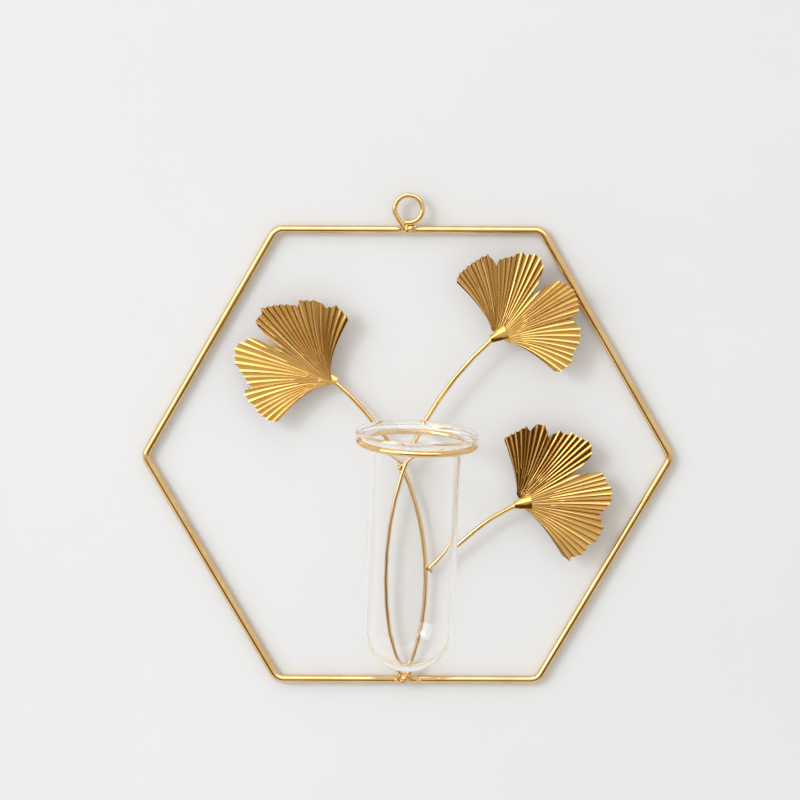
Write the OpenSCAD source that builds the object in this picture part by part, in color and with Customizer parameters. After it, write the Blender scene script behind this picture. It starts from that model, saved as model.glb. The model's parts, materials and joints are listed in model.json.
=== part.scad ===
// Wall-mounted vase: a glass tube in a wire ring, on a hexagonal wire hanger with three stamped leaves.
// X runs to the right, Y into the wall and Z up. The origin is the middle of the hanging eye.

/* [Hexagon frame] */
// Distance across two opposite corners of the hexagon, along the wire's middle
frame_across = 255.4; // [230:0.1:300]
// Diameter of the frame's wire
frame_wire_d = 4; // [3:0.1:6]
// Radius of the bends at the corners, along the wire's middle
corner_bend_r = 6; // [4:0.5:12]
// Diameter of the bead where the frame's two ends meet
closing_bead_d = 5; // [4.4:0.1:6.6]
// How far right of the middle that bead sits
closing_bead_x = 5.6; // [5:0.1:30]

/* [Hanging eye] */
// Outer diameter of the hanging eye
eye_outer_d = 15.8; // [13:0.1:18]
// Diameter of the eye's wire
eye_wire_d = 2.5; // [2:0.1:3.2]
// Height of the eye's middle above the middle of the top bar
eye_rise = 10.3; // [9.9:0.1:11.5]
// Straight tail that laps over the front of the top bar
eye_tail = 8; // [6.5:0.1:9]
// Diameter of the weld under the eye
eye_bead_d = 4.2; // [3.6:0.1:5]

/* [Stems] */
// Height of the upper stem, which the bends of all the stems follow
spray_h = 170; // [150:0.5:185]
// Diameter of the stem wires
stem_d = 2.4; // [1.8:0.1:2.8]
// Where the pair of stems is welded, right of the middle of the bottom bar
stem_base_x = -1.3; // [-6:0.1:2]
// Distance between the two stems at the bottom bar
stem_pitch = 2.7; // [2.6:0.1:4]
// How far the stems reach down over the front of the bottom bar, below its top
stem_lap = 2; // [1.5:0.1:3]
// Diameter of the weld at the foot of the stems
base_bead_d = 4.6; // [4.2:0.1:6]
// Diameter of the weld where the two stems cross
crossing_bead_d = 3.6; // [3:0.1:5]
// Diameter of the weld at the foot of the branch
branch_bead_d = 3.8; // [3.4:0.1:5]

/* [Ring for the tube] */
// Diameter of the ring across the wire's middle
ring_d = 55.4; // [52:0.1:60]
// Diameter of the ring's wire
ring_wire_d = 3; // [2.4:0.1:3.6]
// Gap between the ring and the stem behind it, which the weld fills
ring_standoff = 0.6; // [0.4:0.1:1.2]
// How far the ring's middle sits left of its weld
ring_shift = 2.4; // [0:0.1:6]
// How far the ring's middle sits below its weld
ring_drop = 2.1; // [0:0.1:5]
// Diameter of the weld on the ring
ring_bead_d = 3.6; // [3:0.1:5]

/* [Glass tube] */
// Outer diameter of the tube
tube_d = 43.6; // [40:0.1:48]
// Thickness of the glass
glass_wall = 1.5; // [1:0.1:2.5]
// Whole length of the tube, from the rim to the bottom
tube_len = 117; // [95:0.5:120]
// Diameter across the flared rim
rim_d = 59; // [57:0.1:62]
// Thickness of the rounded rim
rim_bead_d = 2.4; // [2:0.1:3.2]
// Radius of the bend between the body and the flare
flare_bend_r = 4; // [2:0.5:6]
// Clearance between the glass and the ring that it sits in
seat_gap = 0.2; // [0.1:0.05:0.4]

/* [Leaves] */
// Longest ridge of the left leaf
left_reach = 49.5; // [40:0.5:54]
// Longest ridge of the upper leaf
upper_reach = 43.8; // [38:0.1:50]
// Longest ridge of the lower leaf
lower_reach = 45; // [38:0.1:50]
// Thickness of the stamped sheet
leaf_sheet = 0.6; // [0.4:0.1:1]
// Height of the pleats at the leaf's edge, crest to groove
pleat_h = 1.3; // [0.6:0.1:1.8]
// Number of ridges in each of a leaf's four lobes
lobe_ridges = 8; // [5:1:8]
// Width of the sleeve where the stem goes in
sleeve_mouth_w = 3.6; // [3.3:0.1:4.5]
// Depth that the stem goes into the sleeve
stem_grip = 1.5; // [1:0.1:2.5]
// Length of the sleeve folded round the stem's end
sleeve_len = 8.5; // [7:0.1:10]

/* [Hidden] */

$fn = 48;
gold = [0.80, 0.62, 0.30];
leaf_gold = [0.74, 0.56, 0.22];
weld_gold = [0.62, 0.44, 0.16];
glass = [0.85, 0.92, 0.93, 0.35];

// The frame lies behind the plane of the eye, so that the eye's tail laps over its front
frame_y = (frame_wire_d + eye_wire_d) / 2;
frame_high = frame_across * cos(30);
top_bar_z = -eye_rise;
frame_z = top_bar_z - frame_high / 2;
bottom_bar_z = top_bar_z - frame_high;
side_run = frame_across / 2 - 2 * corner_bend_r * tan(30);

// The stems stand on the front of the bottom bar
stem_y = frame_y - (frame_wire_d + stem_d) / 2;
stem_z = bottom_bar_z + frame_wire_d / 2 - stem_lap;

// Each bend of a stem is a radius, as a share of the spray's height, and the degrees it turns right.
// A bend of no degrees is a straight run.
upper_bend_shares = [[0.012, 0], [0.018, -40.1], [0.07, 25.3], [0.016, 0], [0.934, 62.9]];
left_bend_shares = [[0.012, 0], [0.018, 37.6], [0.07, -24], [0.075, 0], [0.753, -35.3], [0.738, -28.5]];
branch_bend_shares = [[0.16, 0], [0.5, 17.5]];
// How many bends, and which part of the next one, lie below the crossing, the ring and the branch
crossing_bend_count = 4.544;
ring_bend_count = 4.678;
branch_bend_count = 4.431;
// A wire's pieces stop short of each joint, in a ball a hair thicker than the wire
joint_gap_share = 0.05;
joint_ball_share = 1.01;
// Degrees that each stem leans out from the wall, and that the branch leaves the left stem
upper_lean = 1.55;
left_lean = 0.2;
branch_lean = 2.5;
branch_turn = 50;

// Degrees that the ring and its tube tip towards the front, and lean to the right
ring_tip = 1.9;
ring_lean = 2.4;

// Outline of each leaf, lobe by lobe: degrees from its middle line, and a share of its reach
left_outline_shares = [
    [[-72, 0.66], [-66, 0.72], [-61, 0.77], [-54, 0.745], [-48, 0.82], [-36, 0.87], [-33.5, 0.825]],
    [[-33.5, 0.825], [-28, 0.88], [-21, 0.94], [-13.5, 1], [-11, 0.945], [-7.5, 0.965],
        [-4.7, 0.925]],
    [[4, 0.9], [10, 0.965], [12.5, 1], [22.5, 0.955], [26, 0.89], [34.5, 0.81], [36.5, 0.78]],
    [[36.5, 0.78], [39.5, 0.86], [46, 0.83], [51, 0.78], [56, 0.775], [66, 0.71], [70, 0.655]]];
upper_outline_shares = [
    [[-84, 0.73], [-80.5, 0.79], [-71.5, 0.84], [-62, 0.835], [-58, 0.88], [-45.5, 0.895],
        [-38, 0.82]],
    [[-38, 0.82], [-32, 0.935], [-21, 0.97], [-17, 0.97], [-12, 0.925], [-7, 0.895]],
    [[5, 0.86], [6.5, 0.92], [12, 0.99], [15.5, 1], [20, 0.96], [25, 0.975], [28.5, 0.915],
        [38, 0.87], [41, 0.805]],
    [[41, 0.805], [46, 0.935], [52, 0.91], [64, 0.86], [70.5, 0.84], [76, 0.785]]];
lower_outline_shares = [
    [[-81, 0.75], [-79, 0.83], [-75, 0.82], [-69, 0.88], [-61, 0.865], [-56, 0.92], [-45.5, 0.935],
        [-38, 0.86]],
    [[-38, 0.86], [-34, 0.905], [-27.5, 0.98], [-19, 0.99], [-15.5, 0.95], [-11, 0.955],
        [-7.5, 0.93]],
    [[5, 0.915], [10, 0.98], [13.5, 1], [21, 0.95], [26, 0.95], [28, 0.9], [33.5, 0.9], [39, 0.79]],
    [[39, 0.79], [45, 0.905], [51, 0.885], [54, 0.8], [57, 0.85], [64.5, 0.79], [76, 0.735]]];
// Reach of the leaf at the bottom of its middle notch
left_notch_share = 0.59;
upper_notch_share = 0.53;
lower_notch_share = 0.565;
// Width of the leaf at its neck
left_neck_share = 0.07;
upper_neck_share = 0.22;
lower_neck_share = 0.19;
// Where the neck is from the stem's end: across it to the right, and on along it
left_neck_shares = [-0.025, 0.017];
upper_neck_shares = [0.035, 0.057];
lower_neck_shares = [-0.008, 0.041];
// How much of a ridge's angle is bent out of its first stretch, and how long that stretch is
left_curl_share = 0.55;
upper_curl_share = 0.35;
lower_curl_share = 0.25;
hold_share = 0.3;
// How far a groove stays back from the edge, which makes it jagged
tooth_share = 0.02;
// Width of the rounded crease along the middle of a leaf
crease_share = 0.08;
// Degrees that a leaf's halves fold forward, and that its middle line rises
leaf_fold_angle = 5;
leaf_rise_angle = 0.5;
// Degrees that each leaf's middle line, and its sleeve, turn right off the end of the stem
left_turn = -6.3;
upper_turn = -10.1;
lower_turn = -4.9;
left_sleeve_turn = -20;
upper_sleeve_turn = 18;
lower_sleeve_turn = 16;
// Rows of points from a leaf's neck to its edge, as shares of each ridge's length
row_shares = [0, 0.12, 0.27, 0.45, 0.63, 0.82, 1];
// The sleeve's ridge and shoulders in front of the wire, as shares of half its mouth
ridge_share = 1.15;
shoulder_share = 0.5;
// Its far end as shares of its mouth: how much wider it is, and how deep its front
sleeve_end_share = 1.7;
sleeve_flat_share = 0.75;
// Parts of a weld's bead, as shares of its diameter
bead_step_share = 0.47;
bead_flat_share = 0.3;
// Degrees that a bead's row of balls is turned right from straight up, so that it slopes down
bead_turn = 110;

// Where a chain of bends is after a number of them, whole or in part, counted from straight up:
// across, up and the heading there
function bend_end(bends, count, i = 0, x = 0, z = 0, head = 0) =
    i >= count ? [x, z, head] :
    let (part = min(count - i, 1), r = bends[i][0] * spray_h, turn = bends[i][1] * part,
        side = sign(turn), next = head + turn)
    turn == 0 ? bend_end(bends, count, i + 1, x + r * part * sin(head), z + r * part * cos(head), head) :
    bend_end(bends, count, i + 1, x + side * r * (cos(head) - cos(next)),
        z + side * r * (sin(next) - sin(head)), next);

// A point of the X-Z plane in the direction of an angle counted from +X
function toward(angle, far) = [far * cos(angle), far * sin(angle)];

// A straight piece of wire up from the origin, and a bent one from the X axis round towards +Y
module straight_wire(run, d) {
    translate([0, 0, joint_gap_share * d]) cylinder(d = d, h = run - 2 * joint_gap_share * d);
}

module curved_wire(r, angle, d) {
    trim = joint_gap_share * d / r * 180 / PI;
    rotate([0, 0, trim]) rotate_extrude(angle = angle - 2 * trim) translate([r, 0]) circle(d = d);
}

module joint(d) {
    sphere(d = joint_ball_share * d);
}

// A round wire laid in the X-Z plane through a chain of bends, from the origin upwards
module bent_wire(bends, i = 0) {
    if (i < len(bends)) {
        r = bends[i][0] * spray_h;
        turn = bends[i][1];
        side = sign(turn);
        if (i > 0) joint(stem_d);
        if (turn == 0) {
            straight_wire(r, stem_d);
            translate([0, 0, r]) bent_wire(bends, i + 1);
        } else {
            translate([side * r, 0, 0]) {
                rotate([90, 0, 0]) rotate([0, 0, side > 0 ? 180 - turn : 0])
                    curved_wire(r, abs(turn), stem_d);
                rotate([0, turn, 0]) translate([-side * r, 0, 0]) bent_wire(bends, i + 1);
            }
        }
    }
}

// Puts its children at the end of the first bends of a stem, turned along it
module along(bends, count) {
    spot = bend_end(bends, count);
    translate([spot[0], 0, spot[1]]) rotate([0, spot[2], 0]) children();
}

module on_upper_stem() {
    translate([stem_base_x - stem_pitch / 2, stem_y, stem_z]) rotate([upper_lean, 0, 0]) children();
}

module on_left_stem() {
    translate([stem_base_x + stem_pitch / 2, stem_y, stem_z]) rotate([left_lean, 0, 0]) children();
}

// The branch leaves the side of the left stem, just clear of it
module on_branch_stem() {
    step_off = stem_d / 2 * (1 + cos(branch_turn)) / sin(branch_turn);
    on_left_stem() along(left_bend_shares, branch_bend_count) rotate([0, branch_turn, 0])
        translate([0, 0, step_off]) rotate([branch_lean, 0, 0]) children();
}

// The ring's middle, worked out from the weld on the upper stem
ring_spot = bend_end(upper_bend_shares, ring_bend_count);
ring_weld_x = stem_base_x - stem_pitch / 2 + ring_spot[0];
ring_weld_y = stem_y - ring_spot[1] * sin(upper_lean);
ring_weld_z = stem_z + ring_spot[1] * cos(upper_lean);
ring_x = ring_weld_x - ring_shift;
ring_y = ring_weld_y - (stem_d + ring_wire_d + ring_d) / 2 - ring_standoff;
ring_z = ring_weld_z - ring_drop;

module on_ring() {
    translate([ring_x, ring_y, ring_z]) rotate([ring_tip, ring_lean, 0]) children();
}

// A weld bead: a ball with a smaller one on each named side, in a row turned right from straight up
module bead(d, sides = [-1, 1], turn = bead_turn) {
    rotate([0, turn, 0]) {
        sphere(d = d);
        for (side = sides)
            translate([0, 0, side * d * bead_step_share]) sphere(d = d * (1 - bead_flat_share));
    }
}

// Columns of a leaf: angle, share of its reach, and whether it is a crest or a groove
function lobe_columns(lobe, first) =
    let (a = lobe[0][0], b = lobe[len(lobe) - 1][0], steps = 2 * lobe_ridges)
    [for (j = [first:steps]) let (angle = a + (b - a) * j / steps, crest = j % 2)
        [angle, lookup(angle, lobe) - tooth_share * (1 - crest), crest]];

function leaf_columns(outline, notch) = concat(
    lobe_columns(outline[0], 0), lobe_columns(outline[1], 1), [[0, notch, 0]],
    lobe_columns(outline[2], 0), lobe_columns(outline[3], 1));

// A point of a leaf's middle sheet: each ridge is a curve that leaves the neck along the middle line
function leaf_point(col, s, t, reach, neck, curl) =
    let (from = [(s - 0.5) * -neck, 0], to = toward(90 + col[0], reach * col[1]),
        far = norm(to - from), via = from + toward(90 + col[0] * (1 - curl), far * hold_share),
        p = from * pow(1 - t, 2) + via * 2 * t * (1 - t) + to * pow(t, 2),
        crease = crease_share * reach,
        fold = (sqrt(pow(p[0], 2) + pow(crease, 2)) - crease) * tan(leaf_fold_angle),
        pleat = (col[2] - 0.5) * pleat_h * t)
    [p[0], -fold - p[1] * tan(leaf_rise_angle) - pleat, p[1]];

// The pleated blade, with its neck at the origin and its middle line along +Z
module blade(outline, notch, reach, neck, curl) {
    cols = leaf_columns(outline, notch);
    n = len(cols);
    m = len(row_shares);
    sheet = [for (side = [-0.5, 0.5], i = [0:m - 1], j = [0:n - 1])
        leaf_point(cols[j], j / (n - 1), row_shares[i], reach, neck, curl)
            + [0, side * leaf_sheet, 0]];
    front = [for (i = [0:m - 2], j = [0:n - 2]) let (a = i * n + j)
        each [[a, a + n + 1, a + n], [a, a + 1, a + n + 1]]];
    back = [for (f = front) [f[2] + m * n, f[1] + m * n, f[0] + m * n]];
    rim = concat([for (j = [0:n - 2]) [j + 1, j]],
        [for (i = [0:m - 2]) [i * n, (i + 1) * n]],
        [for (j = [0:n - 2]) [(m - 1) * n + j, (m - 1) * n + j + 1]],
        [for (i = [0:m - 2]) [(i + 2) * n - 1, (i + 1) * n - 1]]);
    edge = [for (e = rim) each [[e[0], e[1], e[1] + m * n], [e[0], e[1] + m * n, e[0] + m * n]]];
    polyhedron(points = sheet, faces = concat(front, back, edge), convexity = 10);
}

// The sleeve folded round the stem's end: five-sided, from its mouth at the origin up along +Z.
// Its ridge is in front, and its back lies in the sheet of the blade.
module sleeve() {
    half = sleeve_mouth_w / 2;
    back = (stem_d + leaf_sheet) / 2;
    mouth = [[-half, back], [-half, -half * shoulder_share], [0, -half * ridge_share],
        [half, -half * shoulder_share], [half, back]];
    end = [for (q = mouth) [q[0] * sleeve_end_share, q[1] > 0 ? back : q[1] * sleeve_flat_share]];
    sides = [for (i = [0:4]) let (k = (i + 1) % 5) each [[i, i + 5, k + 5], [i, k + 5, k]]];
    polyhedron(
        points = concat([for (q = mouth) [q[0], q[1], 0]], [for (q = end) [q[0], q[1], sleeve_len]]),
        faces = concat([[0, 1, 2, 3, 4], [9, 8, 7, 6, 5]], sides));
}

// A leaf on the end of its stem, turned off the stem's line. Its sheet runs behind the wire (side 1)
// or in front of it (side -1).
module leaf(outline, notch, reach, neck, at, curl, turn, sleeve_turn, side) {
    translate([reach * at[0], side * (stem_d + leaf_sheet) / 2, reach * at[1]]) rotate([0, turn, 0])
        blade(outline, notch, reach, reach * neck, curl);
    rotate([0, sleeve_turn, 0]) translate([0, 0, -stem_grip]) mirror([0, side < 0 ? 1 : 0, 0])
        sleeve();
}

module hexagon_frame() {
    color(gold) translate([0, frame_y, frame_z]) rotate([90, 0, 0]) for (i = [0:5])
        rotate([0, 0, 60 * i]) {
            translate([-side_run / 2, frame_high / 2, 0]) rotate([0, 90, 0]) {
                straight_wire(side_run, frame_wire_d);
                joint(frame_wire_d);
                translate([0, 0, side_run]) joint(frame_wire_d);
            }
            translate([side_run / 2, frame_high / 2 - corner_bend_r, 0]) rotate([0, 0, 30])
                curved_wire(corner_bend_r, 60, frame_wire_d);
        }
}

module closing_weld() {
    color(weld_gold) translate([closing_bead_x, frame_y, bottom_bar_z]) sphere(d = closing_bead_d);
}

// The loop runs from its cut end at the bottom round to the left, where the tail leaves it
module hanging_eye() {
    eye_r = (eye_outer_d - eye_wire_d) / 2;
    color(gold) {
        rotate([90, 0, 0]) rotate([0, 0, -105]) curved_wire(eye_r, 315, eye_wire_d);
        translate([eye_r * cos(210), 0, eye_r * sin(210)]) rotate([0, 150, 0]) {
            joint(eye_wire_d);
            straight_wire(eye_tail, eye_wire_d);
        }
    }
}

module eye_weld() {
    color(weld_gold) translate([-eye_wire_d / 4, eye_wire_d / 4, top_bar_z + eye_bead_d / 4])
        bead(eye_bead_d);
}

module left_stem() {
    color(gold) on_left_stem() bent_wire(left_bend_shares);
}

module upper_stem() {
    color(gold) on_upper_stem() bent_wire(upper_bend_shares);
}

module branch_stem() {
    color(gold) on_branch_stem() bent_wire(branch_bend_shares);
}

module base_weld() {
    color(weld_gold) translate([stem_base_x, stem_y, bottom_bar_z + base_bead_d / 4])
        bead(base_bead_d);
}

// The web in the fork just above the crossing
module crossing_weld() {
    color(weld_gold) on_upper_stem() along(upper_bend_shares, crossing_bend_count)
        translate([-crossing_bead_d / 4, stem_d / 2, 0]) bead(crossing_bead_d, [1], 0);
}

module branch_weld() {
    color(weld_gold) on_left_stem() along(left_bend_shares, branch_bend_count)
        translate([stem_d / 2, 0, branch_bead_d / 4]) bead(branch_bead_d, [1], branch_turn);
}

module tube_ring() {
    color(gold) on_ring() rotate_extrude() translate([ring_d / 2, 0]) circle(d = ring_wire_d);
}

// Two blobs side by side, behind the ring and in front of the stem
module ring_weld() {
    color(weld_gold)
        translate([ring_weld_x, ring_weld_y - (stem_d + ring_standoff) / 2, ring_weld_z - ring_bead_d / 4])
            bead(ring_bead_d, [1]);
}

module left_leaf() {
    color(leaf_gold) on_left_stem() along(left_bend_shares, len(left_bend_shares))
        leaf(left_outline_shares, left_notch_share, left_reach, left_neck_share, left_neck_shares,
            left_curl_share, left_turn, left_sleeve_turn, -1);
}

module upper_leaf() {
    color(leaf_gold) on_upper_stem() along(upper_bend_shares, len(upper_bend_shares))
        leaf(upper_outline_shares, upper_notch_share, upper_reach, upper_neck_share, upper_neck_shares,
            upper_curl_share, upper_turn, upper_sleeve_turn, 1);
}

module lower_leaf() {
    color(leaf_gold) on_branch_stem() along(branch_bend_shares, len(branch_bend_shares))
        leaf(lower_outline_shares, lower_notch_share, lower_reach, lower_neck_share, lower_neck_shares,
            lower_curl_share, lower_turn, lower_sleeve_turn, 1);
}

// The flare rests on the ring, whose plane is the tube's zero height. The round bottom laps a hair up
// into the wall.
module glass_tube() {
    tube_r = tube_d / 2;
    bore_r = tube_r - glass_wall;
    root_z = (ring_wire_d / 2 + seat_gap) * sqrt(2) - (ring_d / 2 - tube_r);
    bend_x = tube_r + flare_bend_r;
    bend_z = root_z - flare_bend_r * tan(22.5);
    rim_r = (rim_d - rim_bead_d) / 2;
    half_wall = glass_wall / 2 * cos(45);
    rim_z = root_z + rim_r - tube_r + 2 * half_wall;
    dome_z = rim_z + rim_bead_d / 2 - tube_len + tube_r;
    bend = [for (i = [0:6]) 180 - 7.5 * i];
    wall = concat([[tube_r, dome_z]],
        [for (a = bend) [bend_x, bend_z] + flare_bend_r * [cos(a), sin(a)]],
        [[rim_r + half_wall, rim_z - half_wall], [rim_r - half_wall, rim_z + half_wall]],
        [for (i = [6:-1:0]) [bend_x, bend_z] + (flare_bend_r + glass_wall) * [cos(bend[i]), sin(bend[i])]],
        [[bore_r, dome_z]]);
    color(glass) on_ring() {
        rotate_extrude() polygon(wall);
        rotate_extrude() translate([rim_r, rim_z]) circle(d = rim_bead_d);
        translate([0, 0, dome_z]) difference() {
            sphere(r = tube_r, $fn = 96);
            sphere(r = bore_r, $fn = 96);
            translate([0, 0, seat_gap]) cylinder(r = tube_d, h = tube_d);
        }
    }
}

hexagon_frame();
closing_weld();
hanging_eye();
eye_weld();
left_stem();
upper_stem();
branch_stem();
base_weld();
crossing_weld();
branch_weld();
tube_ring();
ring_weld();
left_leaf();
upper_leaf();
lower_leaf();
glass_tube();
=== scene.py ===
import json
import math
import random

import bpy
from mathutils import Matrix, Vector


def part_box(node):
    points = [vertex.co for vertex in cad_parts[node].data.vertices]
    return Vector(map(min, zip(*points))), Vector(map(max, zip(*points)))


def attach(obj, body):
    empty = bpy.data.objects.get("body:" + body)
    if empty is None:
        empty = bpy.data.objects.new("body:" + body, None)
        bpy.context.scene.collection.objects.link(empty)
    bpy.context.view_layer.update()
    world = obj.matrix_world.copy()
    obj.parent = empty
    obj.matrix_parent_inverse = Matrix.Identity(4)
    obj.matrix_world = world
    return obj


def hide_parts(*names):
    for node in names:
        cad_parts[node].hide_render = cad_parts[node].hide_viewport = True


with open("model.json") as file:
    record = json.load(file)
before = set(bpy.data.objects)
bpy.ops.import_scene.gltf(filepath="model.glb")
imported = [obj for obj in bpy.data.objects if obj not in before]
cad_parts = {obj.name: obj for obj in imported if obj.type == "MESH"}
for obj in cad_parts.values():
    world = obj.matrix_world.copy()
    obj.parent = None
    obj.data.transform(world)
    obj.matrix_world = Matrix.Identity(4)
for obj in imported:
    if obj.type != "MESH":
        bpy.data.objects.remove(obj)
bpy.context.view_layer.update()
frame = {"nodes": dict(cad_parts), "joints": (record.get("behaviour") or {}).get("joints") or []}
mm = 0.001
scene = bpy.context.scene
scene.view_settings.view_transform = "Standard"
print("frame loaded:", len(frame["nodes"]), "CAD nodes")

# Small helpers for materials


def hexColour(code):
    # an sRGB hex value as the linear colour that a shader takes
    parts = [int(code[i:i + 2], 16) / 255 for i in (1, 3, 5)]
    return [c / 12.92 if c <= 0.04045 else ((c + 0.055) / 1.055) ** 2.4 for c in parts] + [1]


def addNode(material, kind, settings=None, links=None):
    # one node: settings go to its colour stops, its inputs or its own properties, links feed its inputs
    node = material.node_tree.nodes.new(kind)
    for name, value in (settings or {}).items():
        if name == "stops":
            for element, (position, code) in zip(node.color_ramp.elements, value):
                element.position = position
                element.color = hexColour(code)
        elif isinstance(name, int) or name in node.inputs:
            node.inputs[name].default_value = value
        else:
            setattr(node, name, value)
    for name, source in (links or {}).items():
        material.node_tree.links.new(source, node.inputs[name])
    return node


def newMaterial(name):
    material = bpy.data.materials.new(name)
    material.use_nodes = True
    material.node_tree.nodes.clear()
    return material


# Materials

lacquer = {
    "deepBelow": 0.35,     # the clouds' noise gives the deep colour below this and the light one above that
    "lightAbove": 0.62,
    "smoothest": 0.85,     # the grain varies the roughness between these shares of it
    "roughest": 1.2,
    "bumpStrength": 0.5,
    "coatRoughness": 0.05,
    "coatIor": 1.65,
}
goldWire = {
    "light": "#E9C582",
    "deep": "#E0B56C",
    "cloud": 9 * mm,       # size of the soft patches where the lacquer lies thicker
    "grain": 0.5 * mm,     # spray grain, drawn coarser than it is so that it shows
    "roughness": 0.05,
    "bump": 0.008 * mm,
}
goldLeaf = {
    "light": "#E2B458",
    "deep": "#D4A248",
    "cloud": 14 * mm,
    "grain": 0.8 * mm,
    "roughness": 0.16,
    "bump": 0.003 * mm,
}
goldWeld = {
    "light": "#E6BE72",
    "deep": "#BC8640",
    "cloud": 1.6 * mm,
    "grain": 0.5 * mm,
    "roughness": 0.15,
    "bump": 0.03 * mm,
}


def goldLacquer(name, look):
    # brass-coloured lacquer baked on steel: a metal's coloured glints under a clear coat with a faint
    # orange peel
    gold = newMaterial(name)
    place = addNode(gold, "ShaderNodeTexCoord").outputs["Object"]
    cloud = addNode(gold, "ShaderNodeTexNoise", {"Scale": 1 / look["cloud"], "Detail": 3},
                    {"Vector": place}).outputs["Fac"]
    grain = addNode(gold, "ShaderNodeTexNoise", {"Scale": 1 / look["grain"], "Detail": 2},
                    {"Vector": place}).outputs["Fac"]
    stops = [(lacquer["deepBelow"], look["deep"]), (lacquer["lightAbove"], look["light"])]
    colour = addNode(gold, "ShaderNodeValToRGB", {"stops": stops}, {"Fac": cloud}).outputs["Color"]
    rough = addNode(gold, "ShaderNodeMapRange",
                    {"To Min": look["roughness"] * lacquer["smoothest"],
                     "To Max": look["roughness"] * lacquer["roughest"]},
                    {"Value": grain}).outputs["Result"]
    bump = addNode(gold, "ShaderNodeBump", {"Strength": lacquer["bumpStrength"], "Distance": look["bump"]},
                   {"Height": grain}).outputs["Normal"]
    shader = addNode(gold, "ShaderNodeBsdfPrincipled",
                     {"Metallic": 1, "Coat Weight": 1, "Coat Roughness": lacquer["coatRoughness"],
                      "Coat IOR": lacquer["coatIor"]},
                     {"Base Color": colour, "Roughness": rough, "Normal": bump})
    addNode(gold, "ShaderNodeOutputMaterial", links={"Surface": shader.outputs["BSDF"]})
    return gold


blownGlass = {
    "colour": "#FFFFFF",
    "ior": 1.45,
    "longestWay": 4,       # bounces after which light is let straight out of the glass
}


def clearGlass():
    # lampworked borosilicate tube: clear and fire polished. Lamps shine straight through it, so it
    # throws neither a dark shadow nor bright streaks on the wall. Light that has gone round inside the
    # thick rim leaves it, or the rim's two ends would turn black.
    glass = newMaterial("BorosilicateGlass")
    shader = addNode(glass, "ShaderNodeBsdfPrincipled",
                     {"Base Color": hexColour(blownGlass["colour"]), "Roughness": 0,
                      "IOR": blownGlass["ior"], "Transmission Weight": 1})
    through = addNode(glass, "ShaderNodeBsdfTransparent")
    path = addNode(glass, "ShaderNodeLightPath").outputs
    passing = addNode(glass, "ShaderNodeMath", {"operation": "MAXIMUM"},
                      {0: path["Is Shadow Ray"], 1: path["Is Diffuse Ray"]}).outputs[0]
    trapped = addNode(glass, "ShaderNodeMath", {"operation": "GREATER_THAN", 1: blownGlass["longestWay"]},
                      {0: path["Ray Depth"]}).outputs[0]
    straight = addNode(glass, "ShaderNodeMath", {"operation": "MAXIMUM"}, {0: passing, 1: trapped}).outputs[0]
    mixed = addNode(glass, "ShaderNodeMixShader",
                    links={0: straight, 1: shader.outputs["BSDF"], 2: through.outputs["BSDF"]})
    addNode(glass, "ShaderNodeOutputMaterial", links={"Surface": mixed.outputs[0]})
    return glass


wireGold = goldLacquer("LacqueredWire", goldWire)
leafGold = goldLacquer("LacqueredSheet", goldLeaf)
weldGold = goldLacquer("LacqueredWeld", goldWeld)
tubeGlass = clearGlass()
print("materials made")

# Small helpers for modelling

mergeWithin = 0.002 * mm   # points of a piece closer than this become one


def deselectAll():
    if bpy.context.object and bpy.context.object.mode != "OBJECT":
        bpy.ops.object.mode_set(mode="OBJECT")
    bpy.ops.object.select_all(action="DESELECT")


def applyModifier(piece, kind, **settings):
    modifier = piece.modifiers.new(kind.title(), kind)
    for name, value in settings.items():
        setattr(modifier, name, value)
    bpy.context.view_layer.objects.active = piece
    bpy.ops.object.modifier_apply(modifier=modifier.name)


def finishPiece(piece, material, angle=40):
    # one material, normals that point outwards, and edges that look smooth below an angle in degrees
    deselectAll()
    piece.select_set(True)
    bpy.context.view_layer.objects.active = piece
    bpy.ops.object.mode_set(mode="EDIT")
    bpy.ops.mesh.select_all(action="SELECT")
    bpy.ops.mesh.remove_doubles(threshold=mergeWithin)
    bpy.ops.mesh.normals_make_consistent(inside=False)
    bpy.ops.object.mode_set(mode="OBJECT")
    bpy.ops.object.shade_smooth_by_angle(angle=math.radians(angle))
    piece.data.materials.clear()
    piece.data.materials.append(material)
    return piece


# A wire is bent as by hand: each bend is a radius or a straight length, and the degrees that it turns right

wire = {
    "sides": 28,
    "step": 6 * mm,        # length of one straight stretch of mesh
    "arcStep": 5,          # degrees of one stretch in a bend
    "endRound": 0.25 * mm,
    "endSegments": 3,
    "endAngle": 60,        # only edges sharper than this are rounded
}


def bendStep(size, turn):
    if turn == 0:
        return Matrix.Translation((0, 0, size))
    side = math.copysign(size, turn)
    swing = Matrix.Rotation(math.radians(turn), 4, "Y")
    return Matrix.Translation((side, 0, 0)) @ swing @ Matrix.Translation((-side, 0, 0))


def bendEnd(start, bends, count):
    # where a wire is after a number of its bends, whole or in part
    at = start.copy()
    for i, (size, turn) in enumerate(bends[:math.ceil(count)]):
        part = min(count - i, 1)
        at = at @ bendStep(size * (part if turn == 0 else 1), turn * part)
    return at


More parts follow.
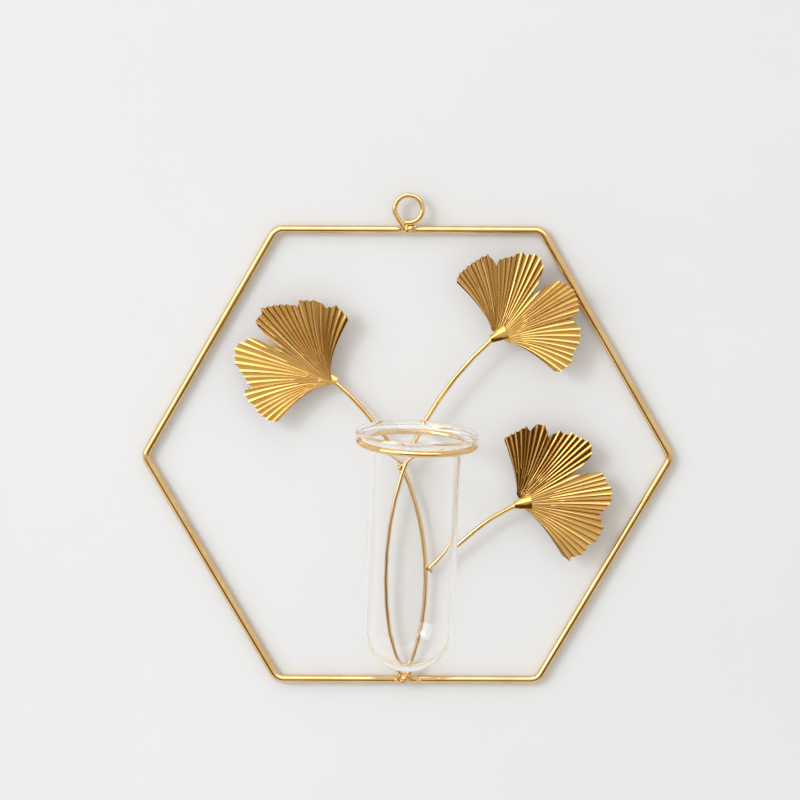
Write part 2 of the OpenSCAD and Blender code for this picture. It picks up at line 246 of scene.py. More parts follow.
def bendWire(name, start, bends, diameter, closed=False):
    deselectAll()
    bpy.ops.mesh.primitive_circle_add(vertices=wire["sides"], radius=diameter / 2, fill_type="NGON",
                                      location=start.translation, rotation=start.to_euler())
    piece = bpy.context.object
    piece.name = name
    bpy.ops.object.transform_apply(location=True, rotation=True, scale=True)
    bpy.ops.object.mode_set(mode="EDIT")
    bpy.ops.mesh.select_all(action="SELECT")
    if closed:
        bpy.ops.mesh.delete(type="ONLY_FACE")
        bpy.ops.mesh.select_all(action="SELECT")
    at = start.copy()
    for size, turn in bends:
        if turn == 0:
            steps = max(1, round(size / wire["step"]))
            ahead = at.to_3x3() @ Vector((0, 0, size / steps))
            for i in range(steps):
                bpy.ops.mesh.extrude_region_move(TRANSFORM_OT_translate={"value": ahead})
        else:
            steps = max(2, math.ceil(abs(turn) / wire["arcStep"]))
            middle = at @ Vector((math.copysign(size, turn), 0, 0))
            bpy.ops.mesh.spin(steps=steps, angle=-math.radians(turn), center=middle,
                              axis=at.to_3x3() @ Vector((0, 1, 0)))
        at = at @ bendStep(size, turn)
    bpy.ops.object.mode_set(mode="OBJECT")
    if not closed:
        applyModifier(piece, "BEVEL", width=wire["endRound"], segments=wire["endSegments"],
                      limit_method="ANGLE", angle_limit=math.radians(wire["endAngle"]))
    return finishPiece(piece, wireGold)


# Hexagon of thick wire, bent round from a cut in its bottom bar, which a weld closes

hexagon = {
    "across": 255.4 * mm,
    "wire": 4 * mm,
    "cornerBend": 6 * mm,
    "gap": 0.3 * mm,       # between the two cut ends, inside the closing weld
    "closingX": 5.6 * mm,  # how far right of the middle that weld is
}
eye = {
    "outer": 15.8 * mm,
    "wire": 2.5 * mm,
    "rise": 10.3 * mm,     # from the top bar to the loop's middle
    "tail": 8 * mm,
    "cutEnd": -105,        # degrees round the loop where its wire begins
    "tailLeaves": 210,     # and where the tail leaves it
}
hexagon["y"] = (hexagon["wire"] + eye["wire"]) / 2
hexagon["high"] = hexagon["across"] * math.cos(math.radians(30))
hexagon["topZ"] = -eye["rise"]
hexagon["bottomZ"] = -eye["rise"] - hexagon["high"]
hexagon["run"] = hexagon["across"] / 2 - 2 * hexagon["cornerBend"] * math.tan(math.radians(30))


def makeHexagon():
    start = (Matrix.Translation((hexagon["closingX"] + hexagon["gap"] / 2, hexagon["y"], hexagon["bottomZ"]))
             @ Matrix.Rotation(math.radians(90), 4, "Y"))
    corner = (hexagon["cornerBend"], -60)
    first = hexagon["run"] / 2 - hexagon["closingX"] - hexagon["gap"] / 2
    last = hexagon["run"] / 2 + hexagon["closingX"] - hexagon["gap"] / 2
    bends = [(first, 0), corner] + [(hexagon["run"], 0), corner] * 5 + [(last, 0)]
    piece = bendWire("hexagon_wire", start, bends, hexagon["wire"])
    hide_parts("hexagon_frame")
    return piece


def makeEye():
    radius = (eye["outer"] - eye["wire"]) / 2
    begin = math.radians(eye["cutEnd"])
    spot = Vector((radius * math.cos(begin), 0, radius * math.sin(begin)))
    # heading turns left round the loop, so it starts a quarter turn on from the radius
    start = Matrix.Translation(spot) @ Matrix.Rotation(-begin, 4, "Y")
    bends = [(radius, eye["cutEnd"] - eye["tailLeaves"]), (eye["tail"], 0)]
    piece = bendWire("eye_wire", start, bends, eye["wire"])
    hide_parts("hanging_eye")
    return piece


# Stems: the bends are shares of the spray's height, as on the hanger

stems = {
    "high": 170 * mm,
    "wire": 2.4 * mm,
    "baseX": -1.3 * mm,
    "pitch": 2.7 * mm,     # between the feet of the two stems
    "lap": 2 * mm,         # how far a foot reaches down over the bar
    "upperLean": 1.55,     # degrees that a stem leans out from the wall
    "leftLean": 0.2,
    "branchLean": 2.5,
    "branchTurn": 50,      # degrees between the left stem and its branch
    "upperShares": [(0.012, 0), (0.018, -40.1), (0.07, 25.3), (0.016, 0), (0.934, 62.9)],
    "leftShares": [(0.012, 0), (0.018, 37.6), (0.07, -24), (0.075, 0), (0.753, -35.3), (0.738, -28.5)],
    "branchShares": [(0.16, 0), (0.5, 17.5)],
    "leftToBranch": 4.431,  # bends of the left stem below the branch, the last one in part
}


def stemBends(name):
    return [(share * stems["high"], turn) for share, turn in stems[name]]


def stemEnd(start, name):
    bends = stemBends(name)
    return bendEnd(start, bends, len(bends))


def stemStart(side, lean):
    foot = Vector((stems["baseX"] + side * stems["pitch"] / 2,
                   hexagon["y"] - (hexagon["wire"] + stems["wire"]) / 2,
                   hexagon["bottomZ"] + hexagon["wire"] / 2 - stems["lap"]))
    return Matrix.Translation(foot) @ Matrix.Rotation(math.radians(lean), 4, "X")


upperStart = stemStart(-1, stems["upperLean"])
leftStart = stemStart(1, stems["leftLean"])
branchFoot = bendEnd(leftStart, stemBends("leftShares"), stems["leftToBranch"])
branchAngle = math.radians(stems["branchTurn"])
stepOff = stems["wire"] / 2 * (1 + math.cos(branchAngle)) / math.sin(branchAngle)
branchStart = (branchFoot @ Matrix.Rotation(branchAngle, 4, "Y") @ Matrix.Translation((0, 0, stepOff))
               @ Matrix.Rotation(math.radians(stems["branchLean"]), 4, "X"))


def makeStem(name, node, start, shares):
    piece = bendWire(name, start, stemBends(shares), stems["wire"])
    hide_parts(node)
    return piece


# Ring for the tube

ring = {"across": 55.4 * mm, "wire": 3 * mm}
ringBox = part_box("tube_ring")
ringMiddle = (ringBox[0] + ringBox[1]) / 2
tubeAxis = Vector(frame["joints"][0]["axis"])
ringAt = Matrix.Translation(ringMiddle) @ tubeAxis.to_track_quat("Z", "X").to_matrix().to_4x4()


def makeRing():
    # the wire starts at the ring's side and turns right round the whole circle
    radius = ring["across"] / 2
    start = ringAt @ Matrix.Rotation(math.radians(90), 4, "X") @ Matrix.Translation((-radius, 0, 0))
    piece = bendWire("ring_wire", start, [(radius, 360)], ring["wire"], closed=True)
    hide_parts("tube_ring")
    return piece


# Welds: small lumps of balls melted together

weld = {
    "voxel": 0.16 * mm,
    "ballCuts": 4,
    "melt": 0.5,           # how strongly the skin is smoothed, and how often
    "meltRounds": 6,
    "lump": 1.3 * mm,      # size of the ripples on a weld
    "ripple": 0.35 * mm,   # and their height
}


def makeWeld(name, node, balls):
    # balls is a list of places and diameters; they are joined, melted into one skin and rippled
    deselectAll()
    parts = []
    for place, diameter in balls:
        bpy.ops.mesh.primitive_ico_sphere_add(subdivisions=weld["ballCuts"], radius=diameter / 2,
                                              location=place)
        parts.append(bpy.context.object)
    for part in parts:
        part.select_set(True)
    piece = parts[0]
    bpy.context.view_layer.objects.active = piece
    bpy.ops.object.join()
    bpy.ops.object.transform_apply(location=True, rotation=True, scale=True)
    piece.name = name
    applyModifier(piece, "REMESH", mode="VOXEL", voxel_size=weld["voxel"])
    applyModifier(piece, "SMOOTH", factor=weld["melt"], iterations=weld["meltRounds"])
    ripple = bpy.data.textures.new(name, "CLOUDS")
    ripple.noise_scale = weld["lump"]
    ripple.noise_depth = 1
    applyModifier(piece, "DISPLACE", texture=ripple, texture_coords="LOCAL", strength=weld["ripple"],
                  mid_level=0.5)
    finishPiece(piece, weldGold, angle=180)
    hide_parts(node)
    return piece


# Glass tube: half of its section is laid out as points and spun round the axis

tube = {
    "across": 43.6 * mm,
    "wall": 1.5 * mm,
    "long": 117 * mm,
    "rimAcross": 59 * mm,
    "rimBead": 2.4 * mm,
    "flare": 45,           # degrees that the mouth opens from the tube's side
    "flareBend": 4 * mm,
    "seatGap": 0.2 * mm,   # between the flare and the ring it rests on
    "domeSteps": 24,
    "bendSteps": 8,
    "beadSteps": 18,
    "turns": 144,
    "mergeWithin": 0.005 * mm,
}


def arc(middleX, middleZ, radius, begin, end, steps):
    angles = [math.radians(begin + (end - begin) * i / steps) for i in range(steps + 1)]
    return [(middleX + radius * math.cos(a), middleZ + radius * math.sin(a)) for a in angles]


def tubeSection():
    # the root is where the flare's slanting line meets the tube's outside
    outer = tube["across"] / 2
    inner = outer - tube["wall"]
    flare = math.radians(tube["flare"])
    seat = (ring["wire"] / 2 + tube["seatGap"]) / math.sin(flare)
    rootZ = seat - (ring["across"] / 2 - outer) / math.tan(flare)
    bendX = outer + tube["flareBend"]
    bendZ = rootZ - tube["flareBend"] * math.tan(flare / 2)
    rimX = (tube["rimAcross"] - tube["rimBead"]) / 2
    rimZ = rootZ + (rimX - outer) / math.tan(flare) + tube["wall"] / 2 / math.sin(flare)
    domeZ = rimZ + tube["rimBead"] / 2 - tube["long"] + outer
    lap = math.degrees(math.asin(tube["wall"] / tube["rimBead"]))
    slant = 180 - tube["flare"]
    back = 90 + tube["flare"]
    return (arc(0, domeZ, outer, -90, 0, tube["domeSteps"])
            + arc(bendX, bendZ, tube["flareBend"], 180, slant, tube["bendSteps"])
            + arc(rimX, rimZ, tube["rimBead"] / 2, lap - back, 360 - back - lap, tube["beadSteps"])
            + arc(bendX, bendZ, tube["flareBend"] + tube["wall"], slant, 180, tube["bendSteps"])
            + arc(0, domeZ, inner, 0, -90, tube["domeSteps"]))


def makeTube():
    section = tubeSection()
    deselectAll()
    bpy.ops.mesh.primitive_circle_add(vertices=len(section), radius=tube["across"], fill_type="NOTHING",
                                      rotation=(math.radians(90), 0, 0))
    piece = bpy.context.object
    piece.name = "glass_vase"
    bpy.ops.object.transform_apply(location=True, rotation=True, scale=True)
    for vertex, (x, z) in zip(piece.data.vertices, section):
        vertex.co = ringAt @ Vector((x, 0, z))
    bpy.ops.object.mode_set(mode="EDIT")
    bpy.ops.mesh.select_all(action="SELECT")
    bpy.ops.mesh.spin(steps=tube["turns"], angle=math.radians(360), center=ringMiddle, axis=tubeAxis)
    bpy.ops.mesh.select_all(action="SELECT")
    bpy.ops.mesh.remove_doubles(threshold=tube["mergeWithin"])
    bpy.ops.mesh.select_all(action="SELECT")
    bpy.ops.mesh.delete_loose()  # the edge on the axis between the two poles
    bpy.ops.object.mode_set(mode="OBJECT")
    finishPiece(piece, tubeGlass, angle=180)
    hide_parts("glass_tube")
    return piece


# Leaves: each lobe's edge is degrees from the leaf's middle line and a share of its reach

leaf = {
    "sheet": 0.5 * mm,
    "pleat": 0.17 * mm,    # the whole sheet's pleats
    "rib": 0.46 * mm,      # and the rib pressed along the crest of each
    "rows": 48,
    "litFlank": 0.25,      # how far a rib's flanks reach from its crest, as shares of the pleat's width
    "darkFlank": 0.12,
    "rightShares": (1.25, 1, 0.6, 0.2),      # columns of mesh on its right flank, as shares of the flank,
    "leftShares": (0.1, 0.5, 0.9, 1, 1.1),   # and on its left one
    "bulge": 1.2,          # 1 makes the flanks straight, and more makes them bulge
    "uneven": 0.16,        # how much pleats differ in width and height
    "fork": 0.4,           # about how far out every other rib begins
    "forkShares": (0.6, 1.3),                # least and most of that
    "forkLength": 0.1,
    "notchHeight": 0.7,    # of the one rib at each side of the notch
    "smoothNeck": 0.14,
    "tooth": 0.02,         # depth of the dents in the edge between two pleats, as a share of the reach
    "crease": 0.08,        # how softly the blade folds down its middle, as a share of the reach
    "fold": 5,             # degrees that each half folds forward there
    "rise": 0.5,           # degrees that the middle line rises from the wall
    "hold": 0.3,           # how long a rib keeps near the middle line
    "calmHeight": 0.1,     # relief that is left where a sheet is calm
    "calmShare": 0.2,      # of its degrees that are calm throughout
    "calmReach": 0.72,     # how far out it stays calm, and how long it takes to end
    "calmEnd": 0.25,
}
sleeve = {
    "mouth": 3.6 * mm,
    "grip": 1.5 * mm,      # how far it reaches down over the stem's end
    "long": 8.5 * mm,
    "cadSheet": 0.6 * mm,  # thickness of the solid part's sheet, which places sleeve and blade
    "cornerShares": [(-1, -0.3), (-0.35, -1), (1, -0.9)],  # its front corners, in half mouths
    "widen": 0.7,          # how much wider and flatter its far end is
    "flatten": 0.5,
    "edge": 0.2 * mm,
    "edgeSegments": 2,
    "edgeAngle": 15,       # only edges sharper than this are rounded
}
leftLeaf = {
    "reach": 49.5 * mm,    # from the neck to the farthest tip
    "notch": 0.59,         # how far out the middle notch begins, and the neck's width, as shares of that
    "neck": 0.07,
    "neckAt": (-0.025, 0.017),               # right of the stem's end and beyond it, as shares too
    "curl": 0.55,          # how much the ribs curl outwards
    "turn": -6.3,          # degrees that the blade turns right of the stem
    "sleeveTurn": -20,     # the same for the sleeve
    "sleeveRoll": 18,      # and degrees round the sleeve's own line
    "side": -1,            # the blade lies on the stem's front with -1, on its back with 1
    "calm": 15,            # degrees beside its middle line where the sheet is nearly smooth
    "ridges": 8,
    "heights": (1, 1, 1, 1),
    "lit": (1, 1, -1, -1),  # the side that each lobe's longer flanks face: 1 is left of its ridges
    "lobes": [
        [(-72, 0.66), (-66, 0.72), (-61, 0.77), (-54, 0.745), (-48, 0.82), (-36, 0.87), (-33.5, 0.825)],
        [(-33.5, 0.825), (-28, 0.88), (-21, 0.94), (-13.5, 1), (-11, 0.945), (-7.5, 0.965), (-4.7, 0.925)],
        [(4, 0.9), (10, 0.965), (12.5, 1), (22.5, 0.955), (26, 0.89), (34.5, 0.81), (36.5, 0.78)],
        [(36.5, 0.78), (39.5, 0.86), (46, 0.83), (51, 0.78), (56, 0.775), (66, 0.71), (70, 0.655)],
    ],
}
upperLeaf = {
    "reach": 43.8 * mm,
    "notch": 0.53,
    "neck": 0.22,
    "neckAt": (0.035, 0.057),
    "curl": 0.35,
    "turn": -10.1,
    "sleeveTurn": 18,
    "sleeveRoll": 0,
    "side": 1,
    "calm": 0,
    "ridges": 9,
    "heights": (0.55, 1, 1, 1),
    "lit": (1, 1, 1, 1),
    "lobes": [
        [(-84, 0.73), (-80.5, 0.79), (-71.5, 0.84), (-62, 0.835), (-58, 0.88), (-45.5, 0.895), (-38, 0.82)],
        [(-38, 0.82), (-32, 0.935), (-21, 0.97), (-17, 0.97), (-12, 0.925), (-7, 0.895)],
        [(5, 0.86), (6.5, 0.92), (12, 0.99), (15.5, 1), (20, 0.96), (25, 0.975), (28.5, 0.915), (38, 0.87),
         (41, 0.805)],
        [(41, 0.805), (46, 0.935), (52, 0.91), (64, 0.86), (70.5, 0.84), (76, 0.785)],
    ],
}
lowerLeaf = {
    "reach": 45 * mm,
    "notch": 0.565,
    "neck": 0.19,
    "neckAt": (-0.008, 0.041),
    "curl": 0.25,
    "turn": -4.9,
    "sleeveTurn": 16,
    "sleeveRoll": 0,
    "side": 1,
    "calm": 0,
    "ridges": 9,
    "heights": (0.3, 1, 1, 1),
    "lit": (1, 1, 1, 1),
    "lobes": [
        [(-81, 0.75), (-79, 0.83), (-75, 0.82), (-69, 0.88), (-61, 0.865), (-56, 0.92), (-45.5, 0.935),
         (-38, 0.86)],
        [(-38, 0.86), (-34, 0.905), (-27.5, 0.98), (-19, 0.99), (-15.5, 0.95), (-11, 0.955), (-7.5, 0.93)],
        [(5, 0.915), (10, 0.98), (13.5, 1), (21, 0.95), (26, 0.95), (28, 0.9), (33.5, 0.9), (39, 0.79)],
        [(39, 0.79), (45, 0.905), (51, 0.885), (54, 0.8), (57, 0.85), (64.5, 0.79), (76, 0.735)],
    ],
}


def lookUp(table, x):
    for (x0, y0), (x1, y1) in zip(table, table[1:]):
        if x <= x1:
            return y0 + (y1 - y0) * (x - x0) / (x1 - x0)
    return table[-1][1]


def ease(x):
    # rises smoothly from 0 to 1
    x = min(max(x, 0), 1)
    return x * x * (3 - 2 * x)


def lobeColumns(lobe, ridges, height, lit, dice):
    # a column is its angle, its share of the reach, the height of its pleat and of its rib, and where
    # along the leaf that rib begins
    begin, end = lobe[0][0], lobe[-1][0]
    uneven = leaf["uneven"]
    marks = [0] + [i + dice.uniform(-uneven, uneven) for i in range(1, ridges)] + [ridges]
    left, right = (leaf["litFlank"], leaf["darkFlank"])[::lit]
    flanks = [-right * u for u in leaf["rightShares"]] + [left * u for u in leaf["leftShares"]]
    columns = []
    for i in range(ridges):
        tall = height * (1 + dice.uniform(-uneven, uneven))
        fork = i % 2 * leaf["fork"] * dice.uniform(*leaf["forkShares"])
        for across in [0] + [0.5 + flank for flank in flanks]:
            angle = begin + (end - begin) * (marks[i] + (marks[i + 1] - marks[i]) * across) / ridges
            pleat = 1 - abs(2 * across - 1)
            reach = left if across > 0.5 else right
            rib = max(0, 1 - (abs(across - 0.5) / reach) ** leaf["bulge"]) * tall
            share = lookUp(lobe, angle) - leaf["tooth"] * (1 - pleat)
            columns.append((angle, share, pleat, rib, fork))
    return columns


def leafColumns(shape):
    dice = random.Random(round(shape["reach"] / mm))
    lobes = shape["lobes"]
    plan = [(lobe, shape["ridges"], height, lit)
            for lobe, height, lit in zip(lobes, shape["heights"], shape["lit"])]
    # the middle pair of lobes meets in the notch, with one lower rib at each side of it
    notch = (0, shape["notch"])
    plan[2:2] = [(side, 1, leaf["notchHeight"], 1) for side in ([lobes[1][-1], notch], [notch, lobes[2][0]])]
    columns = []
    for lobe, ridges, height, lit in plan:
        columns += lobeColumns(lobe, ridges, height, lit, dice)
    angle, share = lobes[3][-1]
    return columns + [(angle, share - leaf["tooth"], 0, 0, 0)]


def leafPoint(shape, column, across, t):
    # a ridge leaves the neck along the middle line and curls outwards to its own angle
    angle, share, pleat, rib, fork = column
    far = Matrix.Rotation(math.radians(angle), 2) @ Vector((0, shape["reach"] * share))
    near = Vector(((0.5 - across) * shape["neck"] * shape["reach"], 0))
    straight = Vector((0, (far - near).length * leaf["hold"]))
    bent = Matrix.Rotation(math.radians(angle * (1 - shape["curl"])), 2) @ straight
    p = near * (1 - t) ** 2 + (near + bent) * 2 * t * (1 - t) + far * t * t
    crease = leaf["crease"] * shape["reach"]
    fold = (math.hypot(p.x, crease) - crease) * math.tan(math.radians(leaf["fold"]))
    high = (pleat - 0.5) * leaf["pleat"] + rib * leaf["rib"] * ease((t - fork) / leaf["forkLength"])
    high *= t * ease(t / leaf["smoothNeck"])
    if shape["calm"]:
        high *= max(leaf["calmHeight"], ease(abs(angle) / shape["calm"] - leaf["calmShare"]),
                    ease((t - leaf["calmReach"]) / leaf["calmEnd"]))
    return Vector((p.x, -fold - p.y * math.tan(math.radians(leaf["rise"])) - high, p.y))


def makeBlade(shape, at):
    columns = leafColumns(shape)
    wide, high = len(columns) - 1, leaf["rows"]
    deselectAll()
    bpy.ops.mesh.primitive_grid_add(x_subdivisions=wide, y_subdivisions=high, size=1)
    blade = bpy.context.object
    for vertex in blade.data.vertices:
        i = round((vertex.co.x + 0.5) * wide)
        t = vertex.co.y + 0.5
        vertex.co = at @ leafPoint(shape, columns[i], i / wide, t)
    bpy.ops.object.mode_set(mode="EDIT")
    bpy.ops.mesh.select_all(action="SELECT")
    thickness = at.to_3x3() @ Vector((0, leaf["sheet"], 0))
    bpy.ops.mesh.extrude_region_move(TRANSFORM_OT_translate={"value": thickness})
    bpy.ops.mesh.select_all(action="SELECT")
    bpy.ops.transform.translate(value=-thickness / 2)
    bpy.ops.object.mode_set(mode="OBJECT")
    return blade


def makeSleeve(shape, at):
    # a five-sided tube folded from the sheet, narrow where the stem goes in, with a flat front and one
    # slanting side
    half = sleeve["mouth"] / 2
    back = (stems["wire"] + sleeve["cadSheet"]) / 2
    front = [(x * half, y * half) for x, y in sleeve["cornerShares"]]
    mouth = [(-half, back), *front, (half, back)]
    deselectAll()
    bpy.ops.mesh.primitive_circle_add(vertices=len(mouth), radius=half, fill_type="NGON")
    folded = bpy.context.object
    for vertex, (x, y) in zip(folded.data.vertices, mouth):
        vertex.co = (x, y, 0)
    bpy.ops.object.mode_set(mode="EDIT")
    bpy.ops.mesh.select_all(action="SELECT")
    for i in range(2):
        bpy.ops.mesh.extrude_region_move(TRANSFORM_OT_translate={"value": (0, 0, sleeve["long"] / 2)})
    bpy.ops.object.mode_set(mode="OBJECT")
    for vertex in folded.data.vertices:
        on = vertex.co.z / sleeve["long"]
        vertex.co.x *= 1 + sleeve["widen"] * on
        if vertex.co.y < 0:
            vertex.co.y *= 1 - sleeve["flatten"] * on * on
    bpy.ops.object.mode_set(mode="EDIT")
    bpy.ops.mesh.select_all(action="SELECT")
    bpy.ops.mesh.normals_make_consistent(inside=False)
    bpy.ops.object.mode_set(mode="OBJECT")
    applyModifier(folded, "BEVEL", width=sleeve["edge"], segments=sleeve["edgeSegments"],
                  limit_method="ANGLE", angle_limit=math.radians(sleeve["edgeAngle"]))
    if shape["side"] < 0:
        at = at @ Matrix.Scale(-1, 4, (0, 1, 0))
    folded.data.transform(at)
    return folded


def makeLeaf(name, node, shape, tip):
    sheetY = shape["side"] * (stems["wire"] + sleeve["cadSheet"]) / 2
    neckX, neckZ = (share * shape["reach"] for share in shape["neckAt"])
    bladeAt = (tip @ Matrix.Translation((neckX, sheetY, neckZ))
               @ Matrix.Rotation(math.radians(shape["turn"]), 4, "Y"))
    sleeveAt = (tip @ Matrix.Rotation(math.radians(shape["sleeveTurn"]), 4, "Y")
                @ Matrix.Translation((0, 0, -sleeve["grip"]))
                @ Matrix.Rotation(math.radians(shape["sleeveRoll"]), 4, "Z"))
    blade = makeBlade(shape, bladeAt)
    folded = makeSleeve(shape, sleeveAt)
    deselectAll()
    folded.select_set(True)
    blade.select_set(True)
    bpy.context.view_layer.objects.active = blade
    bpy.ops.object.join()
    blade.name = name
    finishPiece(blade, leafGold, angle=45)
    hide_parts(node)
    return blade


hangerPieces = [makeHexagon(), makeEye()]
print("frame and eye bent")
hangerPieces += [
    makeStem("left_stem_wire", "left_stem", leftStart, "leftShares"),
    makeStem("upper_stem_wire", "upper_stem", upperStart, "upperShares"),
    makeStem("branch_wire", "branch_stem", branchStart, "branchShares"),
    makeRing(),
]
print("stems and ring bent")

hangerPieces += [
    makeLeaf("left_leaf_sheet", "left_leaf", leftLeaf, stemEnd(leftStart, "leftShares")),
    makeLeaf("upper_leaf_sheet", "upper_leaf", upperLeaf, stemEnd(upperStart, "upperShares")),
    makeLeaf("lower_leaf_sheet", "lower_leaf", lowerLeaf, stemEnd(branchStart, "branchShares")),
]
print("leaves stamped")

# Each weld's lumps: right, into the wall and up from the middle of its node, and a diameter, in mm

weldLumps = {
    "eye_weld": [(-0.2, -1.1, 0.9, 1.7), (-0.2, -1.2, -0.3, 1.8), (-0.1, -1, -1.4, 1.8), (1.8, -0.9, 0, 2.9),
                 (3.6, -0.3, 0.6, 1.8), (3.7, -0.2, -0.6, 1.9), (2.6, -0.4, -1.5, 1.8), (0.2, 0.4, -0.4, 4.2),
                 (-1.9, 0.5, -0.6, 3.2), (-3.6, 0.3, -0.5, 2.3), (1.9, 0.5, 1, 2.4)],
    "base_weld": [(0.3, -0.6, 0.2, 4.4), (-2.2, -0.3, 1.3, 2.6), (2, -0.9, 1.2, 2.8), (-3.8, 0.6, -0.6, 2),
                  (0.9, -1.4, 1.9, 2.2), (3, 0, -0.4, 2.4), (-1, -0.7, -1.2, 2.6)],
    "closing_weld": [(0, 0.1, 0, 4.3), (-0.8, -1.5, 0.3, 1.9), (0.8, -1.4, 0.2, 1.8)],
    "crossing_weld": [(0, 0, -1.2, 2.6), (-0.7, 0, 0.5, 2.6), (0.8, 0, 0.5, 2.6), (-1, 0, 2.1, 2.2),
                      (0.9, 0, 2.1, 2.2), (0, 0, 1.5, 2.6)],
    "branch_weld": [(-0.6, 0, 0.4, 3), (0.9, 0, 0.2, 2.6), (1.5, -0.2, -1.1, 1.7), (-0.9, -0.5, 1.3, 2)],
    "ring_weld": [(-0.9, 0, 0, 3.2), (0.9, 0.1, -0.2, 2.8), (0, 0.2, 1.3, 2.2), (-0.2, -0.5, -1.1, 2)],
}
for node, lumps in weldLumps.items():
    low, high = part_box(node)
    balls = [((low + high) / 2 + Vector(lump[:3]) * mm, lump[3] * mm) for lump in lumps]
    hangerPieces.append(makeWeld(node + "_bead", node, balls))
for piece in hangerPieces:
    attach(piece, "hanger")
print("welds melted")
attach(makeTube(), "glass_tube")
print("tube blown")

# Camera where the photograph was taken from, 1.7 m in front of the wall

view = {
    "place": (3.5 * mm, -1696.75 * mm, 170.25 * mm),
    "tilt": -8.806,        # degrees
    "pan": 0.249,
    "roll": 0.158,
    "lens": 159.97,        # in mm, as is the sensor
    "sensor": 36,
}
cameraData = bpy.data.cameras.new("Camera")
cameraData.lens = view["lens"]
cameraData.sensor_width = view["sensor"]
camera = bpy.data.objects.new("Camera", cameraData)
scene.collection.objects.link(camera)
camera.matrix_world = (Matrix.Translation(view["place"])
                       @ Matrix.Rotation(math.radians(view["pan"]), 4, "Z")
                       @ Matrix.Rotation(math.radians(90 + view["tilt"]), 4, "X")
                       @ Matrix.Rotation(math.radians(view["roll"]), 4, "Z"))
scene.camera = camera

# Wall, floor and cards, in metres

room = {
    "wallGap": 0.5 * mm,   # between the back of the hexagon and the wall
    "wide": 5,
    "high": 4,
    "deep": 1.2,
    "floor": -1.1,
    "wall": "#E0E1E1",
    "mottle": "#DEDFDF",
    "patch": 1 / 6,        # size of the paint's soft patches
    "mottleBelow": 0.3,    # their noise gives the mottle's colour below this and the wall's above that
    "wallAbove": 0.7,
    # glowing cards, no lamps, seen only in mirror images: painted reflections of a dark brown band and of
    # white sails
    "cards": {
        "BrownReflectionGlow": {"colour": "#4A2A0C", "glow": 1.3, "wide": 3.9, "high": 1.6, "at": (0.1, -2.2, -1.5)},
        "SideReflectionGlow": {"colour": "#FFF9F0", "glow": 3, "wide": 3.5, "high": 2.7, "at": (-2.05, -1.3, 1.5)},
        "TopReflectionGlow": {"colour": "#FFF9F0", "glow": 3, "wide": 2.4, "high": 2.4, "at": (0.8, -1.8, 1.9)},
    },
}


def paintedWall():
    # matt emulsion, seen only from its front: a camera behind it looks through
    paint = newMaterial("MattEmulsion")
    place = addNode(paint, "ShaderNodeTexCoord").outputs["Object"]
    mottle = addNode(paint, "ShaderNodeTexNoise", {"Scale": 1 / room["patch"], "Detail": 2},
                     {"Vector": place}).outputs["Fac"]
    stops = [(room["mottleBelow"], room["mottle"]), (room["wallAbove"], room["wall"])]
    colour = addNode(paint, "ShaderNodeValToRGB", {"stops": stops}, {"Fac": mottle}).outputs["Color"]
    matt = addNode(paint, "ShaderNodeBsdfDiffuse", links={"Color": colour})
    clear = addNode(paint, "ShaderNodeBsdfTransparent")
    behind = addNode(paint, "ShaderNodeNewGeometry").outputs["Backfacing"]
    mixed = addNode(paint, "ShaderNodeMixShader", links={0: behind, 1: matt.outputs[0], 2: clear.outputs[0]})
    addNode(paint, "ShaderNodeOutputMaterial", links={"Surface": mixed.outputs[0]})
    return paint


def glowingCard(name, card):
    # a glowing card, no lamp, that shows only in mirror images as a painted reflection; light that the glass
    # has bent passes through it
    reflectionGlow = newMaterial(name)
    glow = addNode(reflectionGlow, "ShaderNodeEmission",
                   {"Color": hexColour(card["colour"]), "Strength": card["glow"]})
    clear = addNode(reflectionGlow, "ShaderNodeBsdfTransparent")
    bent = addNode(reflectionGlow, "ShaderNodeLightPath").outputs["Is Transmission Ray"]
    mixed = addNode(reflectionGlow, "ShaderNodeMixShader", links={0: bent, 1: glow.outputs[0], 2: clear.outputs[0]})
    addNode(reflectionGlow, "ShaderNodeOutputMaterial", links={"Surface": mixed.outputs[0]})
    return reflectionGlow


def makePlane(name, wide, high, middle, tilt, material):
    deselectAll()
    bpy.ops.mesh.primitive_plane_add(size=1, location=middle, rotation=(math.radians(tilt), 0, 0))
    plane = bpy.context.object
    plane.name = name
    plane.scale = (wide, high, 1)
    bpy.ops.object.transform_apply(location=True, rotation=True, scale=True)
    plane.data.materials.append(material)
    return plane


def makeRoom():
    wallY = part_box("hexagon_frame")[1].y + room["wallGap"]
    paint = paintedWall()
    makePlane("wall", room["wide"], room["high"], (0, wallY, room["floor"] + room["high"] / 2), 90, paint)
    makePlane("floor", room["wide"], room["deep"], (0, wallY - room["deep"] / 2, room["floor"]), 0, paint)
    # the cards show only in mirror images, as painted reflections: the brown glow below the camera draws the
    # dark line that runs along each wire, and the white glows at the left and above draw the pale bands
    # beside it
    for name, card in room["cards"].items():
        plane = makePlane(name, card["wide"], card["high"], card["at"], 90, glowingCard(name, card))
        for ray in ("camera", "diffuse", "transmission", "shadow"):
            setattr(plane, "visible_" + ray, False)


makeRoom()

# Lamps: a wide soft window and a smaller softbox at the left, one from above, and the room's own light

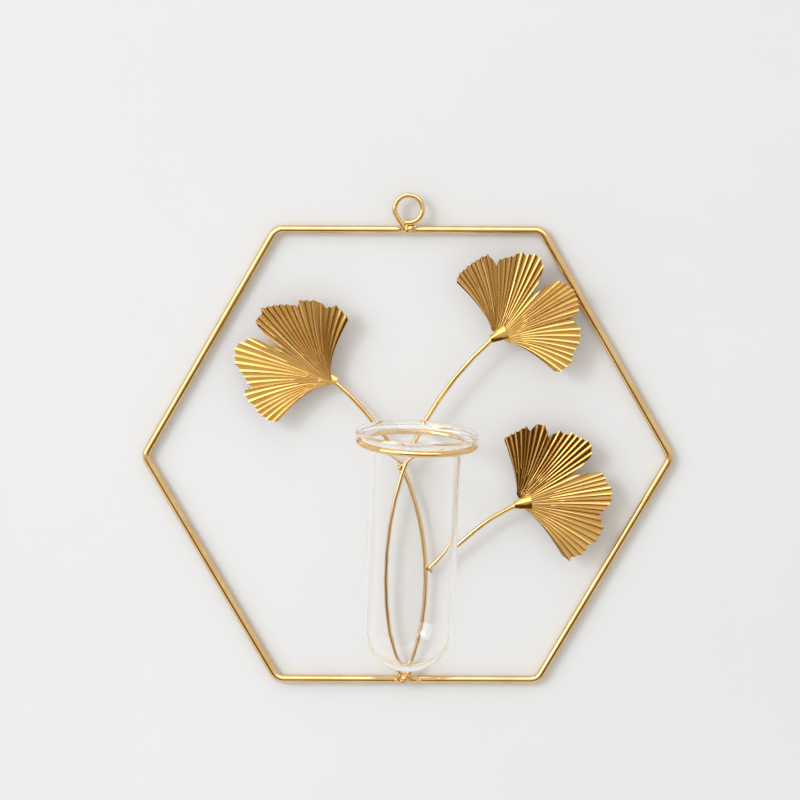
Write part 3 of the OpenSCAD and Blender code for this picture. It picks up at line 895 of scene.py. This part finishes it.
lamps = {
    "window": {"from": (-0.74, -0.6, 0.3), "far": 4.5, "size": 3.3, "watts": 98},
    "key": {"from": (-0.64, -0.66, 0.42), "far": 4.8, "size": 0.9, "watts": 40},
    "ceiling": {"from": (-0.25, -0.42, 0.87), "far": 2.4, "size": 1.1, "watts": 5},
    "world": 0.86,
    "above": "#FFFAF4",
    "below": "#E6DED2",
    "belowUpTo": 0.34,     # the world's colours by height, from 0 straight down to 1 straight up
    "aboveFrom": 0.6,
    "daylight": "#EDF4FF",
}


def makeLamp(name, look):
    data = bpy.data.lights.new(name, "AREA")
    data.shape = "SQUARE"
    data.size = look["size"]
    data.energy = look["watts"]
    data.color = hexColour(lamps["daylight"])[:3]
    lamp = bpy.data.objects.new(name, data)
    scene.collection.objects.link(lamp)
    away = Vector(look["from"]).normalized()
    middle = Vector((0, 0, hexagon["topZ"] - hexagon["high"] / 2))
    lamp.location = middle + away * look["far"]
    lamp.rotation_mode = "QUATERNION"
    lamp.rotation_quaternion = away.to_track_quat("Z", "Y")
    lamp.visible_camera = False


makeLamp("WindowSoftbox", lamps["window"])
makeLamp("KeySoftbox", lamps["key"])
makeLamp("CeilingSoftbox", lamps["ceiling"])


def makeWorld():
    # the room is lighter above than below
    world = bpy.data.worlds.new("Studio")
    scene.world = world
    world.use_nodes = True
    world.node_tree.nodes.clear()
    direction = addNode(world, "ShaderNodeTexCoord").outputs["Generated"]
    up = addNode(world, "ShaderNodeSeparateXYZ", links={"Vector": direction}).outputs["Z"]
    height = addNode(world, "ShaderNodeMapRange", {"From Min": -1}, {"Value": up}).outputs["Result"]
    stops = [(lamps["belowUpTo"], lamps["below"]), (lamps["aboveFrom"], lamps["above"])]
    colour = addNode(world, "ShaderNodeValToRGB", {"stops": stops}, {"Fac": height}).outputs["Color"]
    light = addNode(world, "ShaderNodeBackground", {"Strength": lamps["world"]}, {"Color": colour})
    addNode(world, "ShaderNodeOutputWorld", links={"Surface": light.outputs[0]})


makeWorld()
print("camera, wall and lamps placed")
